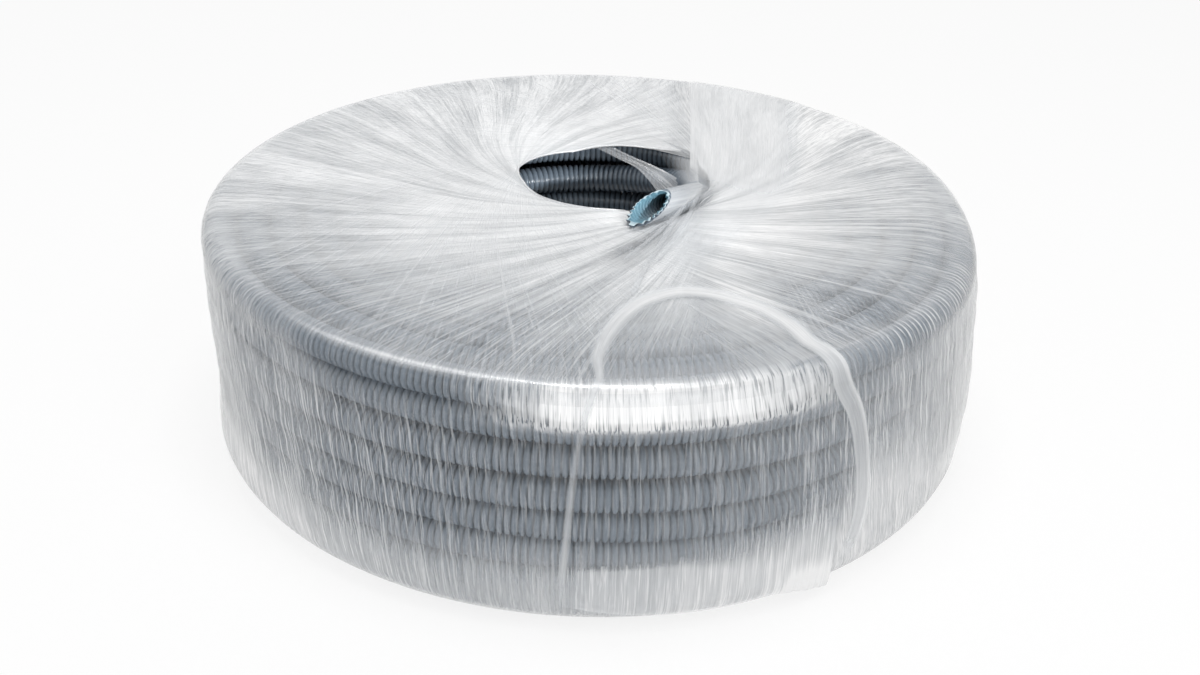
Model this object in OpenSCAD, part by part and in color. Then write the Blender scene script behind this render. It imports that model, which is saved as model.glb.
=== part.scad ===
// A coil of corrugated electrical conduit, wrapped in stretch film, lying flat.
// The coil's axis is Z, the floor is Z = 0, and all sizes are in millimetres.

/* [Conduit] */
// Outside diameter over the ribs
tube_od = 16; // [14:0.5:18]
// Clear bore inside the ribs
tube_bore = 11.4; // [10:0.1:12]
// Thickness of the corrugated wall
tube_wall = 0.5; // [0.4:0.1:0.8]
// Distance from one rib to the next
rib_pitch = 3.3; // [2.6:0.1:4]

/* [Winding] */
// Turns stacked on each other in one layer
rows = 8; // [6:1:10]
// Layers of turns, from the bore outwards
layers = 7; // [5:1:9]
// Clear bore of the winding, between the innermost turns
winding_bore = 173; // [160:1:200]
// Slack between one layer and the next
layer_slack = 1; // [0:0.1:2]

/* [Free end] */
// Ribbed straight length, up to the middle of the slanted cut
end_straight = 42.4; // [38:0.2:48]
// Bend radius of the length that leaves the winding, on its centre line
end_bend_r = 61; // [55:1:66]
// Azimuth where that bend lies deepest in the winding
end_azimuth = 95; // [80:1:105]
// Turn of the bend before the straight length
end_bend_angle = 105; // [95:1:115]
// Slope at which the straight length climbs
end_rise = 13; // [11:1:17]
// Angle between the slanted cut and the tube's axis
end_cut = 25; // [21:1:60]
// Height of the cut's middle above the film
end_lift = 5; // [4:0.5:9]

/* [Film] */
// Thickness of the wound layers of film together
film_t = 0.6; // [0.5:0.1:1.2]
// Room between the film and the turns
film_room = 0.2; // [0.1:0.1:0.5]
// Corner radius of the film at the lower rim, where it draws the winding in
film_low_corner = 19; // [14:1:22]
// How far the film reaches in over the winding's bore
film_overhang = 38; // [32:1:44]
// Middle of the eye, to the right of the coil's axis
eye_x = 8; // [4:1:12]
// Middle of the eye, behind the coil's axis
eye_y = 28; // [22:1:32]
// Width of a gathered strand that runs through the bore
strand_w = 20; // [12:1:28]
// Thickness of a gathered strand
strand_t = 1.5; // [1:0.1:3]
// Room between the film and the free end
end_room = 1; // [0.5:0.1:2]

/* [Hidden] */
$fn = 96;
tube_r = tube_od / 2;

// Winding
winding_base = film_t + film_room;
winding_h = rows * tube_od;
layer_pitch = tube_od + layer_slack;
first_r = winding_bore / 2 + tube_r;
last_r = first_r + (layers - 1) * layer_pitch;
winding_r = last_r + tube_r;
// the grooves between the turns are closed below this depth
groove_depth = 0.3 * tube_od;
first_z = winding_base + tube_r;
last_z = winding_base + winding_h - tube_r;

// Film
film_r = winding_r + film_room + film_t;
film_h = winding_h + 2 * winding_base;
film_corner = tube_r + film_room + film_t;
// the lowest outer turn lies in the lower corner, so it moves in and up by this
low_shift = (film_low_corner - film_corner) * (1 - sqrt(0.5));
corner_steps = 8;
eye_r = winding_bore / 2 - film_overhang;
strand_angles = [190, 225, 260];

// Ribs: shares of the pitch that the crest and the valley take
crest_w = 0.4 * rib_pitch;
valley_w = 0.28 * rib_pitch;
flank_w = (rib_pitch - crest_w - valley_w) / 2;
valley_r = tube_bore / 2 + tube_wall;

// Free end: the bend's circle lies in the innermost turn at its deepest point
end_depth = 0.45 * tube_od;
bend_at_r = first_r + end_depth - end_bend_r;
bend_at = bend_at_r * [cos(end_azimuth), sin(end_azimuth)];
// direction from the bend's middle to its start, counted from the deepest point
bend_start = -126;
end_heading = end_azimuth + bend_start + 270;
// the bore is open up to where the bend reaches the innermost turns
reach_r = winding_bore / 2 - tube_r;
reach_cos = (pow(reach_r, 2) - pow(bend_at_r, 2) - pow(end_bend_r, 2)) / (2 * bend_at_r * end_bend_r);
bore_turn = -acos(reach_cos) - bend_start;
out = [cos(end_heading), sin(end_heading)];
bend_side = [cos(end_heading + 90), sin(end_heading + 90)];
// middle of the slanted cut, on the tube's axis
mouth_at = bend_at + end_bend_r * bend_side + end_straight * cos(end_rise) * out;
mouth_z = film_h + end_lift;
cut_reach = tube_r / tan(end_cut);
// the last rib at the toe is the last one that the cut leaves joined to the rest
rib_count = floor((end_straight + valley_r / tan(end_cut) + flank_w) / rib_pitch) + 1;
// straight stretch where the free end is level with the film or comes through it
slot_from = (tube_r / cos(end_rise) + end_lift + film_t + end_room) / tan(end_rise);
slot_w = tube_od + 2 * end_room;

// Section of the wound turns: the outermost turns on every side and the closed inside
module winding_section() {
    for (layer = [0 : layers - 1]) translate([first_r + layer * layer_pitch, last_z]) circle(tube_r);
    for (layer = [0 : layers - 2]) translate([first_r + layer * layer_pitch, first_z]) circle(tube_r);
    translate([last_r - low_shift, first_z + low_shift]) circle(tube_r);
    for (row = [1 : rows - 2], r = [first_r, last_r])
        translate([r, first_z + row * tube_od]) circle(tube_r);
    inner = first_r - tube_r + groove_depth;
    outer = winding_r - groove_depth;
    low = winding_base + groove_depth;
    polygon([
        [inner, low],
        [outer - tube_r, low],
        [outer, low + tube_r],
        [outer, low + winding_h - 2 * groove_depth],
        [inner, low + winding_h - 2 * groove_depth]
    ]);
}

// Outline of the ribs from one radius to another, as [radius, length] points along the tube
function rib_points(crest, valley, from, count) = [
    for (i = [0 : count - 1])
        let (z = from + i * rib_pitch)
        each [
            [crest, z],
            [crest, z + crest_w],
            [valley, z + crest_w + flank_w],
            [valley, z + crest_w + flank_w + valley_w]
        ]
];

// Solid turned to the ribs' outline, along +X
module ribbed_rod(crest, valley) {
    rotate([0, 90, 0])
        rotate_extrude()
            polygon(concat(
                [[0, -end_straight]],
                rib_points(crest, valley, -end_straight, rib_count),
                [[valley, rib_count * rib_pitch - end_straight], [0, rib_count * rib_pitch - end_straight]]
            ));
}

// Bent rod that leads back from the straight length into the winding
module bent_rod(r, turn) {
    translate([-end_straight, -end_bend_r, 0])
        rotate([0, 0, 90])
            rotate_extrude(angle = turn)
                translate([end_bend_r, 0]) circle(r);
}

// Puts the free end's own frame, with the mouth at its origin and +X outwards, in its place
module at_mouth() {
    translate([mouth_at.x, mouth_at.y, mouth_z])
        rotate([0, -end_rise, end_heading])
            children();
}

// Everything above the slanted cut
module cut_away() {
    block = 4 * (cut_reach + tube_od);
    rotate([0, end_cut, 0])
        translate([-block / 2, -block / 2, 0])
            cube(block);
}

module conduit() {
    color("slategray")
        difference() {
            union() {
                rotate_extrude() winding_section();
                at_mouth() bent_rod(tube_r, end_bend_angle);
                at_mouth()
                    difference() {
                        ribbed_rod(tube_r, valley_r);
                        cut_away();
                    }
            }
            at_mouth() bent_rod(tube_bore / 2, bore_turn);
            at_mouth() ribbed_rod(tube_r - tube_wall, tube_bore / 2);
        }
}

// Half section of the film, or of the room inside it, with its outer corners rounded
module film_section(inset) {
    arc = [for (i = [0 : corner_steps]) [cos(90 * i / corner_steps), sin(90 * i / corner_steps)]];
    low = [film_r - film_low_corner, film_low_corner];
    high = [film_r - film_corner, film_h - film_corner];
    polygon(concat(
        [[0, inset]],
        [for (i = [corner_steps : -1 : 0]) low + (film_low_corner - inset) * [arc[i].x, -arc[i].y]],
        [for (p = arc) high + (film_corner - inset) * p],
        [[0, film_h - inset]]
    ));
}

// Opening for the free end, where it comes up through the film
module end_slot() {
    translate([mouth_at.x, mouth_at.y, film_h - film_corner])
        rotate([0, 0, end_heading]) {
            translate([-slot_from, -slot_w / 2, 0]) cube([slot_from + cut_reach, slot_w, film_corner + 1]);
            for (x = [-slot_from, cut_reach])
                translate([x, 0, 0]) cylinder(d = slot_w, h = film_corner + 1);
        }
}

// Film gathered to a strand, from the upper sheet to the lower one
module strand(angle) {
    translate([eye_x, eye_y, 0])
        rotate([0, 0, angle])
            translate([eye_r, -strand_w / 2, film_t / 2])
                cube([strand_t, strand_w, film_h - film_t]);
}

module stretch_film() {
    color("gainsboro", 0.4)
        difference() {
            union() {
                difference() {
                    rotate_extrude() film_section(0);
                    rotate_extrude() film_section(film_t);
                }
                for (angle = strand_angles) strand(angle);
            }
            translate([eye_x, eye_y, -1]) cylinder(r = eye_r, h = film_h + 2);
            end_slot();
        }
}

conduit();
stretch_film();
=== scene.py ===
# Coil of corrugated electrical conduit in stretch film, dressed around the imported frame.
# Lengths are millimetres in the frame of the part, and metres for the camera and the studio.
# Angles in the dictionaries are degrees.
import math

import bpy
import numpy as np
from mathutils import Matrix, Vector


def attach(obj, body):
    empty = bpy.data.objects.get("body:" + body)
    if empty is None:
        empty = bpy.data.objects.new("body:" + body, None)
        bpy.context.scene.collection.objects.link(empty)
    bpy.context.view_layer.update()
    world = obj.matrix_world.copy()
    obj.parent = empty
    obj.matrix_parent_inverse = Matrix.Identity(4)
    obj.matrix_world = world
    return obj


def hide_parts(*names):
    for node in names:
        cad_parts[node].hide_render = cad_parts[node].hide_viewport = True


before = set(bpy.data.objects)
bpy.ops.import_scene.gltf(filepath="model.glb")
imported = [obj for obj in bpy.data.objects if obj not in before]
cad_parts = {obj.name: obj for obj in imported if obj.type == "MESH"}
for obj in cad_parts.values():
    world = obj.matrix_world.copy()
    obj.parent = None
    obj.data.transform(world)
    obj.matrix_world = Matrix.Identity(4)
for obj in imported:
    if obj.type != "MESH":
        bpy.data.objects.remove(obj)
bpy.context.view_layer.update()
mm = 0.001
print("frame loaded:", sorted(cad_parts))


def linear(hexCode, alpha=1.0):
    parts = [int(hexCode[i:i + 2], 16) / 255 for i in (0, 2, 4)]
    return tuple(p / 12.92 if p <= 0.04045 else ((p + 0.055) / 1.055) ** 2.4 for p in parts) + (alpha,)


def put(tree, kind, values=None, **settings):  # adds a node; a node among the values gives its first output
    node = tree.nodes.new(kind)
    for key, value in settings.items():
        setattr(node, key, value)
    for key, value in (values or {}).items():
        if isinstance(value, bpy.types.Node):
            value = value.outputs[0]
        if isinstance(value, bpy.types.NodeSocket):
            tree.links.new(value, node.inputs[key])
        else:
            node.inputs[key].default_value = value
    return node


def emptyTree(block):  # cleared node tree of a material or the world
    block.use_nodes = True
    block.node_tree.nodes.clear()
    return block.node_tree


def smooth(low, high, x):  # from 0 at low to 1 at high
    t = np.clip((np.asarray(x, float) - low) / (np.asarray(high) - low), 0, 1)
    return t * t * (3 - 2 * t)


def within(x, start, full, fade, end):  # 0 up to start, 1 from full to fade, 0 again from end on
    return smooth(start, full, x) * (1 - smooth(fade, end, x))


def hill(x, middle, width):  # soft bump of height 1
    return np.exp(-((np.asarray(x, float) - middle) / width) ** 2)


def turned(angle, middle):  # signed difference of two angles in degrees
    return (np.asarray(angle, float) - middle + 180) % 360 - 180


def byAzimuth(table, az):  # value between the (azimuth, value) pairs of a table
    return np.interp(az, *np.array(table, float).T, period=360)


def polar(r, a, z):  # points at radius r, angle a in radians and height z
    r, a, z = np.broadcast_arrays(r, a, z)
    return np.stack([r * np.cos(a), r * np.sin(a), z], -1)


def curveBetween(t, start, startWay, end, endWay):  # cubic that leaves start and reaches end along their ways
    return ((2 * t**3 - 3 * t**2 + 1) * start + (t**3 - 2 * t**2 + t) * startWay
            + (3 * t**2 - 2 * t**3) * end + (t**3 - t**2) * endWay)


# Camera and studio

camera = {
    "place": (0.0, -0.77060, 0.45870),
    "right": (0.99954769, 0.00870244, 0.02878692),
    "up": (-0.02947153, 0.47402133, 0.88002),
    "lens": 46.8378, "sensor": 36,
    "nearest": 0.01,
}


def addCamera(c):
    data = bpy.data.cameras.new("camera")
    data.lens, data.sensor_width, data.sensor_fit = c["lens"], c["sensor"], "HORIZONTAL"
    data.clip_start = c["nearest"]
    right, up = Vector(c["right"]).normalized(), Vector(c["up"])
    up = (up - right * up.dot(right)).normalized()
    turn = Matrix((right, up, right.cross(up))).transposed().to_4x4()
    cam = bpy.data.objects.new("camera", data)
    cam.matrix_world = Matrix.Translation(c["place"]) @ turn
    bpy.context.scene.collection.objects.link(cam)
    bpy.context.scene.camera = cam


studio = {
    "fill": 0.55,  # how bright the white room lights the coil
    "floorHalf": 6.0, "floorColour": "F0F0F0",
    "floorGlow": 0.8, "floorWhite": 1.03,  # share of plain white that the camera sees in it, and its level
    "lamps": [  # name, place, aim, width, depth, watts
        ("overheadBox", (0.0, -0.15, 1.60), (0.0, 0.0, 0.1), 0.6, 0.5, 9.1),
        ("eyeBox", (0.36, -0.55, 0.95), (0.0, 0.06, 0.1), 0.3, 0.3, 1.1),
        ("frontStrip", (0.0, -1.70, 0.30), (0.0, -0.2, 0.12), 4.2, 0.28, 6.3),
    ],
    "spot": {
        "place": (0.48, -0.718, 0.414), "aim": (-0.030, 0.08, 0.106),
        "cone": 4.6, "watts": 42.0, "size": 0.02},
}


def plainlySeen(tree):  # 1 for what is seen directly, mirrored or through film, 0 for light on the coil
    path = put(tree, "ShaderNodeLightPath").outputs
    seen = path["Is Camera Ray"]
    for ray in ("Is Glossy Ray", "Is Transmission Ray"):
        seen = put(tree, "ShaderNodeMath", {0: seen, 1: path[ray]}, operation="MAXIMUM")
    return seen


def whiteRoom(s):
    world = bpy.data.worlds.new("whiteRoom")
    bpy.context.scene.world = world
    tree = emptyTree(world)
    strength = put(tree, "ShaderNodeMapRange", {
        "Value": plainlySeen(tree), "To Min": s["fill"], "To Max": 1.0})
    sky = put(tree, "ShaderNodeBackground", {"Color": (1, 1, 1, 1), "Strength": strength})
    put(tree, "ShaderNodeOutputWorld", {"Surface": sky})


def hang(data, place, aim):
    lamp = bpy.data.objects.new(data.name, data)
    lamp.location = place
    lamp.rotation_euler = (Vector(aim) - Vector(place)).to_track_quat("-Z", "Y").to_euler()
    bpy.context.scene.collection.objects.link(lamp)


def hangLamps(s):
    for name, place, aim, width, depth, watts in s["lamps"]:
        data = bpy.data.lights.new(name, "AREA")
        data.shape, data.size, data.size_y, data.energy = "RECTANGLE", width, depth, watts
        hang(data, place, aim)
    spot = s["spot"]
    data = bpy.data.lights.new("eyeSpot", "SPOT")
    data.energy, data.shadow_soft_size = spot["watts"], spot["size"]
    data.spot_size, data.spot_blend = math.radians(spot["cone"]), 1.0
    hang(data, spot["place"], spot["aim"])


def layFloor(s):
    half = s["floorHalf"]
    corners = [(-half, -half, 0), (half, -half, 0), (half, half, 0), (-half, half, 0)]
    mesh = bpy.data.meshes.new("floor")
    mesh.from_pydata(corners, [], [(0, 1, 2, 3)])
    floor = bpy.data.objects.new("floor", mesh)
    bpy.context.scene.collection.objects.link(floor)
    paper = bpy.data.materials.new("white paper sweep")  # matt, keeps a faint shadow under the coil
    tree = emptyTree(paper)
    share = put(tree, "ShaderNodeMath", {0: plainlySeen(tree), 1: s["floorGlow"]}, operation="MULTIPLY")
    matt = put(tree, "ShaderNodeBsdfDiffuse", {"Color": linear(s["floorColour"])})
    glow = put(tree, "ShaderNodeEmission", {"Color": (1, 1, 1, 1), "Strength": s["floorWhite"]})
    mixed = put(tree, "ShaderNodeMixShader", {0: share, 1: matt, 2: glow})
    put(tree, "ShaderNodeOutputMaterial", {"Surface": mixed})
    mesh.materials.append(paper)


bpy.context.scene.view_settings.view_transform = "Standard"
addCamera(camera)
whiteRoom(studio)
hangLamps(studio)
layFloor(studio)
print("camera and studio set")


# Materials

pvcLook = {
    "crest": "6E7A86",  # tops of the ribs
    "valley": "353E46",  # between the ribs, darker than the rib tops as painted shade
    "bore": "648C9D",  # inside of the tube, near its open end; further in it gives way to the darker rib colours as painted shade
    "cut": "BFD2D8",  # edge that the saw left
    "cloud": 22.0, "cloudGain": 0.5,  # mm, slow colour drift along the tube, and how much it shows
    "grain": 0.6, "grainDepth": 0.1, "grainBump": 0.15,  # mm, moulding texture
    "rough": (0.2, 0.32), "boreRough": 0.3,  # satin, and how much duller the bore is
    "ior": 1.53,
}


def greyPvc(look):
    # Extruded and blow-moulded grey PVC: satin, a little lighter on the rib tops where it was handled, and
    # darker between the ribs as painted shade
    mat = bpy.data.materials.new("grey extruded PVC")
    tree = emptyTree(mat)
    place = put(tree, "ShaderNodeTexCoord").outputs["Object"]
    mark = {name: put(tree, "ShaderNodeAttribute", attribute_name=name).outputs["Fac"]
            for name in ("crest", "bore", "cut")}
    noise = {}
    for name in ("cloud", "grain"):
        scale = 1 / mm / look[name]
        noise[name] = put(tree, "ShaderNodeTexNoise", {"Vector": place, "Scale": scale, "Detail": 2.0})
    gain = look["cloudGain"]
    lift = put(tree, "ShaderNodeMath", {0: noise["cloud"], 1: gain, 2: -gain / 2}, operation="MULTIPLY_ADD")
    shade = put(tree, "ShaderNodeMath", {0: mark["crest"], 1: lift}, operation="ADD", use_clamp=True)
    # starts from the dark valley colour and takes the rib-top colour on the crests: painted shade between the
    # ribs
    tint = linear(look["valley"])
    for share, colour in ((shade, "crest"), (mark["bore"], "bore"), (mark["cut"], "cut")):
        mixed = put(tree, "ShaderNodeMix", {0: share, 6: tint, 7: linear(look[colour])}, data_type="RGBA")
        tint = mixed.outputs[2]
    low, high = look["rough"]
    satin = put(tree, "ShaderNodeMapRange", {"Value": noise["grain"], "To Min": low, "To Max": high})
    rough = put(tree, "ShaderNodeMath", {0: mark["bore"], 1: look["boreRough"], 2: satin},
                operation="MULTIPLY_ADD")
    bump = put(tree, "ShaderNodeBump", {
        "Height": noise["grain"], "Strength": look["grainBump"], "Distance": look["grainDepth"] * mm})
    body = put(tree, "ShaderNodeBsdfPrincipled", {
        "Base Color": tint, "Roughness": rough, "Normal": bump, "IOR": look["ior"]})
    put(tree, "ShaderNodeOutputMaterial", {"Surface": body})
    return mat


filmLook = {
    "clear": "E4E9EE", "milky": "FCFCFC",
    # Four patterns: fine pull lines, strands where the film gathers, patches where it clings more or less,
    # and short clear gaps. Size is width and length in mm, gain the share of the haze that a pattern takes
    # or adds, and white the part of its noise that shows as a white line or, for the fray, as a gap
    "thread": {"size": (0.85, 26.0), "detail": 2.0, "bend": 0.6, "gain": 0.9, "white": (0.52, 0.69)},
    "pleat": {"size": (2.8, 190.0), "detail": 1.5, "bend": 0.12, "gain": 0.6, "white": (0.55, 0.74)},
    "patch": {"size": (24.0, 60.0), "detail": 2.0, "bend": 0.0, "gain": 1.1},
    "fray": {"size": (0.9, 8.0), "detail": 1.0, "bend": 0.3, "white": (0.5, 0.36)},
    "ribs": 374.0,  # of the outermost turn, which show as white teeth where the film is tight on them: painted highlights on the rib tops
    "tooth": (0.0, 0.9),  # part of a rib's wave that is white
    "toothBreak": (0.38, 0.56),  # part of the threads that breaks the teeth
    "least": 0.03, "most": 0.98,
    "creaseBump": 0.3, "creaseDepth": 0.5, "pleatDepth": 2.0,
    "rough": (0.16, 0.3),
    "ior": 1.75, "specular": 0.8, "coat": 0.5, "coatRough": 0.12,  # several layers mirror more than one
}


def stretchFilm(look):
    # Clear polyethylene stretch film, cold-drawn: glossy, milky where pull lines and layers pile up
    mat = bpy.data.materials.new("clear polyethylene film")
    mat.surface_render_method = "BLENDED"
    tree = emptyTree(mat)
    along = put(tree, "ShaderNodeAttribute", attribute_name="filmCoord").outputs["Vector"]
    mark = {name: put(tree, "ShaderNodeAttribute", attribute_name=name).outputs["Fac"]
            for name in ("haze", "grain", "lines", "strands", "comb", "fray")}
    noise = {}
    for name in ("thread", "pleat", "patch", "fray"):
        width, length = look[name]["size"]
        scale = (1 / width, 1 / width, 1 / length)
        scaled = put(tree, "ShaderNodeVectorMath", {0: along, 1: scale}, operation="MULTIPLY")
        noise[name] = put(tree, "ShaderNodeTexNoise", {
            "Vector": scaled, "Scale": 1.0, "Detail": look[name]["detail"], "Distortion": look[name]["bend"]})
    # Haze, uneven by the patterns
    gains = {name: look[name]["gain"] for name in ("thread", "pleat", "patch")}
    part = -0.5 * sum(gains.values())
    for name, gain in gains.items():
        part = put(tree, "ShaderNodeMath", {0: noise[name], 1: gain, 2: part}, operation="MULTIPLY_ADD")
    part = put(tree, "ShaderNodeMath", {0: part, 1: mark["grain"], 2: 1.0}, operation="MULTIPLY_ADD")
    milky = put(tree, "ShaderNodeMath", {0: mark["haze"], 1: part}, operation="MULTIPLY", use_clamp=True)
    # White lines, strands and clear gaps, each with the strength that the piece stores
    shown = {}
    for name, strength in (("thread", "lines"), ("pleat", "strands"), ("fray", "fray")):
        low, high = look[name]["white"]
        line = put(tree, "ShaderNodeMapRange", {"Value": noise[name], "From Min": low, "From Max": high},
                   interpolation_type="SMOOTHSTEP")
        shown[name] = put(tree, "ShaderNodeMath", {0: line, 1: mark[strength]}, operation="MULTIPLY")
    drawn = put(tree, "ShaderNodeMath", {0: shown["thread"], 1: shown["pleat"]}, operation="MAXIMUM")
    # Teeth over the ribs of the outermost turn, broken by the threads: painted highlights on the rib tops
    place = put(tree, "ShaderNodeTexCoord").outputs["Object"]
    place = put(tree, "ShaderNodeSeparateXYZ", {0: place}).outputs
    around = put(tree, "ShaderNodeMath", {0: place[1], 1: place[0]}, operation="ARCTAN2")
    around = put(tree, "ShaderNodeMath", {0: around, 1: look["ribs"]}, operation="MULTIPLY")
    wave = put(tree, "ShaderNodeMath", {0: around}, operation="SINE")
    low, high = look["tooth"]
    teeth = put(tree, "ShaderNodeMapRange", {"Value": wave, "From Min": low, "From Max": high},
                interpolation_type="SMOOTHSTEP")
    low, high = look["toothBreak"]
    broken = put(tree, "ShaderNodeMapRange", {"Value": noise["thread"], "From Min": low, "From Max": high})
    comb = put(tree, "ShaderNodeMath", {0: mark["comb"], 1: broken}, operation="MULTIPLY")
    teeth = put(tree, "ShaderNodeMath", {0: teeth, 1: comb}, operation="MULTIPLY")
    drawn = put(tree, "ShaderNodeMath", {0: drawn, 1: teeth}, operation="MAXIMUM")
    # All of it together, less the gaps
    room = put(tree, "ShaderNodeMath", {0: 1.0, 1: milky}, operation="SUBTRACT")
    total = put(tree, "ShaderNodeMath", {0: drawn, 1: room, 2: milky}, operation="MULTIPLY_ADD")
    kept = put(tree, "ShaderNodeMath", {0: 1.0, 1: shown["fray"]}, operation="SUBTRACT")
    total = put(tree, "ShaderNodeMath", {0: total, 1: kept}, operation="MULTIPLY")
    alpha = put(tree, "ShaderNodeMath", {0: total, 1: look["least"]}, operation="MAXIMUM")
    alpha = put(tree, "ShaderNodeMath", {0: alpha, 1: look["most"]}, operation="MINIMUM")
    tint = put(tree, "ShaderNodeMix", {0: total, 6: linear(look["clear"]), 7: linear(look["milky"])},
               data_type="RGBA")
    height = put(tree, "ShaderNodeMath", {0: noise["pleat"], 1: look["pleatDepth"], 2: noise["thread"]},
                 operation="MULTIPLY_ADD")
    bump = put(tree, "ShaderNodeBump", {
        "Height": height, "Strength": look["creaseBump"], "Distance": look["creaseDepth"] * mm})
    low, high = look["rough"]
    rough = put(tree, "ShaderNodeMapRange", {"Value": noise["patch"], "To Min": low, "To Max": high})
    body = put(tree, "ShaderNodeBsdfPrincipled", {
        "Base Color": tint.outputs[2], "Roughness": rough, "Normal": bump, "Alpha": alpha, "IOR": look["ior"],
        "Specular IOR Level": look["specular"], "Coat Weight": look["coat"],
        "Coat Roughness": look["coatRough"]})
    put(tree, "ShaderNodeOutputMaterial", {"Surface": body})
    return mat


pvc = greyPvc(pvcLook)
film = stretchFilm(filmLook)
print("materials made")


def dress(obj, node):  # hooks a finished piece to the frame
    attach(obj, "root")
    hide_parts(node)


def meshPiece(name, points, faces, mat, fields):  # points and vector fields in mm
    mesh = bpy.data.meshes.new(name)
    mesh.from_pydata((np.asarray(points) * mm).tolist(), [], faces)
    for key, values in fields.items():
        values = np.asarray(values, np.float32)
        kind, part = ("FLOAT_VECTOR", "vector") if values.ndim == 2 else ("FLOAT", "value")
        mesh.attributes.new(key, kind, "POINT").data.foreach_set(part, values.ravel())
    mesh.materials.append(mat)
    mesh.polygons.foreach_set("use_smooth", [True] * len(mesh.polygons))
    mesh.validate()
    obj = bpy.data.objects.new(name, mesh)
    bpy.context.scene.collection.objects.link(obj)
    return obj


def gridFaces(rows, columns, closed, flip=False, start=0):  # quads of a grid stored row by row
    faces = []
    for i in range(rows - 1):
        here, below = start + i * columns, start + (i + 1) * columns
        for j in range(columns if closed else columns - 1):
            k = (j + 1) % columns
            quad = (here + j, here + k, below + k, below + j)
            faces.append(quad[::-1] if flip else quad)
    return faces


# Corrugated tube: a Geometry Nodes tree that ribs any path

ribStations = {  # three a rib, evenly spaced; two of them then move on by a share of the pitch
    "count": 3.0,
    "topMove": 0.167,  # the second, to half a pitch and still on the rib top
    "valleyMove": 0.083,  # the third, into the valley
}


def tubeTree(s):
    tree = bpy.data.node_groups.new("corrugatedTube", "GeometryNodeTree")
    inputs = {"Path": "Geometry", "Rib Pitch": "Float", "Crest Radius": "Float", "Valley Radius": "Float",
              "Sides": "Int", "Open Ends": "Int", "Material": "Material"}
    for label, kind in inputs.items():
        tree.interface.new_socket(label, in_out="INPUT", socket_type="NodeSocket" + kind)
    tree.interface.new_socket("Tube", in_out="OUTPUT", socket_type="NodeSocketGeometry")
    given = put(tree, "NodeGroupInput").outputs
    path = put(tree, "GeometryNodeMeshToCurve", {0: given["Path"]})
    length = put(tree, "GeometryNodeSplineLength").outputs["Length"]
    ribs = put(tree, "ShaderNodeMath", {0: length, 1: given["Rib Pitch"]}, operation="DIVIDE")
    ribs = put(tree, "ShaderNodeMath", {0: ribs}, operation="ROUND")
    count = put(tree, "ShaderNodeMath", {0: ribs, 1: s["count"], 2: given["Open Ends"]},
                operation="MULTIPLY_ADD")
    stations = put(tree, "GeometryNodeResampleCurve", {"Curve": path, "Count": count})
    upright = put(tree, "GeometryNodeSetCurveNormal", {"Curve": stations}, mode="Z_UP")
    index = put(tree, "GeometryNodeInputIndex")
    place = put(tree, "ShaderNodeMath", {0: index, 1: s["count"]}, operation="FLOORED_MODULO")
    crest = put(tree, "ShaderNodeMath", {0: place, 1: 1.5}, operation="LESS_THAN")  # stations 0, 1
    later = put(tree, "ShaderNodeMath", {0: place, 1: 0.5}, operation="GREATER_THAN")  # 1, 2
    step = put(tree, "ShaderNodeMath", {0: crest, 1: s["topMove"] - s["valleyMove"], 2: s["valleyMove"]},
               operation="MULTIPLY_ADD")
    for factor in (later.outputs[0], given["Rib Pitch"]):
        step = put(tree, "ShaderNodeMath", {0: step, 1: factor}, operation="MULTIPLY")
    tangent = put(tree, "GeometryNodeInputTangent")
    way = put(tree, "ShaderNodeVectorMath", {0: tangent, "Scale": step}, operation="SCALE")
    spread = put(tree, "GeometryNodeSetPosition", {"Geometry": upright, "Offset": way})
    # 1 on the rib tops and 0 in the valleys; the PVC material paints the valleys darker as shade
    marked = put(tree, "GeometryNodeStoreNamedAttribute", {
        "Geometry": spread, "Name": "crest", "Value": crest}, data_type="FLOAT", domain="POINT")
    depth = put(tree, "ShaderNodeMath", {0: given["Crest Radius"], 1: given["Valley Radius"]},
                operation="SUBTRACT")
    radius = put(tree, "ShaderNodeMath", {0: crest, 1: depth, 2: given["Valley Radius"]},
                 operation="MULTIPLY_ADD")
    ring = put(tree, "GeometryNodeCurvePrimitiveCircle", {"Resolution": given["Sides"], "Radius": 1.0})
    sweep = put(tree, "GeometryNodeCurveToMesh", {"Curve": marked, "Profile Curve": ring, "Scale": radius})
    even = put(tree, "GeometryNodeSetShadeSmooth", {0: sweep})
    real = put(tree, "GeometryNodeRealizeInstances", {0: even})
    painted = put(tree, "GeometryNodeSetMaterial", {"Geometry": real, "Material": given["Material"]})
    put(tree, "NodeGroupOutput", {0: painted})
    return tree


def grow(name, paths, tree, inputs):  # runs a tree on paths of (points, closed) and keeps the plain mesh
    points, edges = [], []
    for line, closed in paths:
        start = len(points)
        points += (np.asarray(line) * mm).tolist()
        edges += [(start + i, start + i + 1) for i in range(len(line) - 1)]
        if closed:
            edges.append((start + len(line) - 1, start))
    mesh = bpy.data.meshes.new(name + "Path")
    mesh.from_pydata(points, edges, [])
    obj = bpy.data.objects.new(name, mesh)
    bpy.context.scene.collection.objects.link(obj)
    mod = obj.modifiers.new("grow", "NODES")
    mod.node_group = tree
    sockets = {s.name: s.identifier for s in tree.interface.items_tree
               if s.item_type == "SOCKET" and s.in_out == "INPUT"}
    for label, value in inputs.items():
        mod[sockets[label]] = value
    graph = bpy.context.evaluated_depsgraph_get()
    made = bpy.data.meshes.new_from_object(
        obj.evaluated_get(graph), preserve_all_data_layers=True, depsgraph=graph)
    made.name = name
    obj.modifiers.clear()
    obj.data = made
    bpy.data.meshes.remove(mesh)
    return obj


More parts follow.
